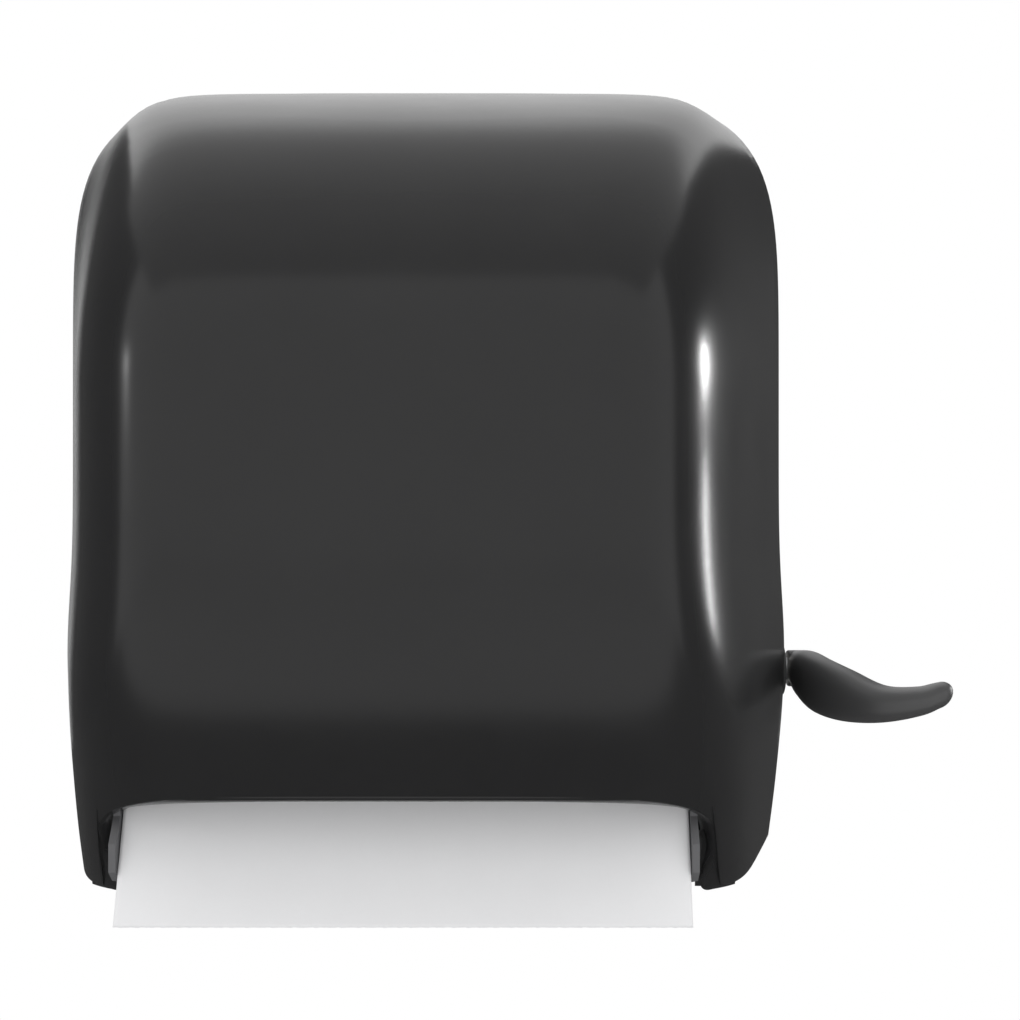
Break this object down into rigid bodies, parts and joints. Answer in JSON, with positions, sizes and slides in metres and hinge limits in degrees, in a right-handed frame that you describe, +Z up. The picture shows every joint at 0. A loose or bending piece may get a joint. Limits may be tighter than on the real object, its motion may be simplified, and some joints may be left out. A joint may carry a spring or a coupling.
{
  "type": "lever paper towel dispenser",
  "caption": "Wall-hung roll towel dispenser with a rounded swing-down cover, an arched outlet and a side lever that feeds the towel through geared rollers.",
  "frame": {"origin": "centre of the four wall screw holes, on the back face", "axes": "+X towards the lever side, -Y out of the wall towards the user, +Z up"},
  "size_m": [0.3802, 0.216, 0.3333],
  "materials": {
    "black_shell": "smooth near-black moulded plastic with a soft gloss",
    "black_plastic": "fine textured near-black plastic",
    "grey_plastic": "mid-grey moulded plastic",
    "natural_plastic": "natural acetal, slightly waxy",
    "steel": "bright steel",
    "rubber": "black rubber",
    "paper": "soft white towel paper",
    "card": "plain brown cardboard"
  },
  "bodies": {
    "frame": {"wall_tray": "black_plastic", "feed_plate_left": "grey_plastic", "feed_plate_right": "grey_plastic", "frame_screws": "steel", "tie_rods": "steel", "tear_bar": "steel", "tear_bar_screws": "steel", "paper_guide": "grey_plastic", "cover_hinge_pins": "steel", "lever_bushing": "natural_plastic", "lever_stop": "rubber", "return_spring": "steel", "idler_pin": "steel", "roller_bushes": "natural_plastic", "arm_pins": "steel", "lock_barrel": "steel", "lock_nut": "steel", "pressure_pins": "steel", "paper_web": "paper", "paper_tail": "paper"},
    "cover": {"front_cover": "black_shell", "hinge_cheek_left": "black_shell", "hinge_cheek_right": "black_shell", "cover_catch": "black_shell"},
    "lock": {"lock_plug": "steel", "lock_cam": "steel"},
    "lever": {"lever_handle": "black_shell", "lever_shaft": "steel", "segment_gear": "natural_plastic", "lever_screw": "steel"},
    "idler": {"idler_gear": "natural_plastic"},
    "clutch": {"clutch_pinion": "natural_plastic"},
    "drive_roller": {"drive_shaft": "steel", "drive_core": "black_plastic", "drive_sleeves": "rubber", "feed_knob": "black_plastic"},
    "pressure_frame": {"pressure_arm": "black_plastic", "pressure_springs": "steel"},
    "pinch_roller": {"pinch_shaft": "steel", "pinch_rollers": "grey_plastic"},
    "roll_arm_l": {"roll_arm_left": "black_plastic", "roll_hub_left": "natural_plastic"},
    "roll_arm_r": {"roll_arm_right": "black_plastic", "roll_hub_right": "natural_plastic"},
    "towel_roll": {"roll_core": "card", "paper_roll": "paper"}
  },
  "joints": [
    {"name": "cover_hinge", "type": "hinge", "parent": "frame", "child": "cover", "pos_m": [0, -0.127, -0.156], "axis": [1, 0, 0], "range_deg": [0, 100]},
    {"name": "lock_turn", "type": "hinge", "parent": "frame", "child": "lock", "pos_m": [0, -0.017, 0.15], "axis": [0, 0, 1], "range_deg": [0, 90]},
    {"name": "lever_press", "type": "hinge", "parent": "frame", "child": "lever", "pos_m": [0.164, -0.02, -0.094], "axis": [1, 0, 0], "range_deg": [0, 55], "stiffness_Nm_per_rad": 0.6, "springref_deg": -20.05},
    {"name": "idler_spin", "type": "hinge", "parent": "frame", "child": "idler", "pos_m": [0.11, -0.09566, -0.09766], "axis": [1, 0, 0], "range_deg": [-146, 0]},
    {"name": "clutch_pinion_spin", "type": "hinge", "parent": "frame", "child": "clutch", "pos_m": [0.11, -0.127, -0.108], "axis": [1, 0, 0], "range_deg": [0, 252]},
    {"name": "paper_roll_spin", "type": "hinge", "parent": "frame", "child": "towel_roll", "pos_m": [0, -0.094, 0.032], "axis": [1, 0, 0], "continuous": true},
    {"name": "drive_roller_spin", "type": "hinge", "parent": "frame", "child": "drive_roller", "pos_m": [0, -0.127, -0.108], "axis": [1, 0, 0], "continuous": true},
    {"name": "pressure_swing", "type": "hinge", "parent": "frame", "child": "pressure_frame", "pos_m": [0, -0.16802, -0.07996], "axis": [-1, 0, 0], "range_deg": [0, 6], "stiffness_Nm_per_rad": 1.5, "springref_deg": -11.46},
    {"name": "pinch_roller_spin", "type": "hinge", "parent": "pressure_frame", "child": "pinch_roller", "pos_m": [0, -0.15322, -0.09846], "axis": [1, 0, 0], "continuous": true},
    {"name": "left_arm_swing", "type": "hinge", "parent": "frame", "child": "roll_arm_l", "pos_m": [-0.1065, -0.011, 0.032], "axis": [0, 0, -1], "range_deg": [0, 8], "stiffness_Nm_per_rad": 1, "springref_deg": -8.59},
    {"name": "right_arm_swing", "type": "hinge", "parent": "frame", "child": "roll_arm_r", "pos_m": [0.1065, -0.011, 0.032], "axis": [0, 0, 1], "range_deg": [0, 8], "stiffness_Nm_per_rad": 1, "springref_deg": -8.59}
  ],
  "couplings": [
    {"joint": "idler_spin", "follows": "lever_press", "ratio": -2.6071},
    {"joint": "clutch_pinion_spin", "follows": "lever_press", "ratio": 4.5625},
    {"joint": "drive_roller_spin", "follows": "paper_roll_spin", "ratio": -4.1362},
    {"joint": "pinch_roller_spin", "follows": "paper_roll_spin", "ratio": 9.5207}
  ]
}
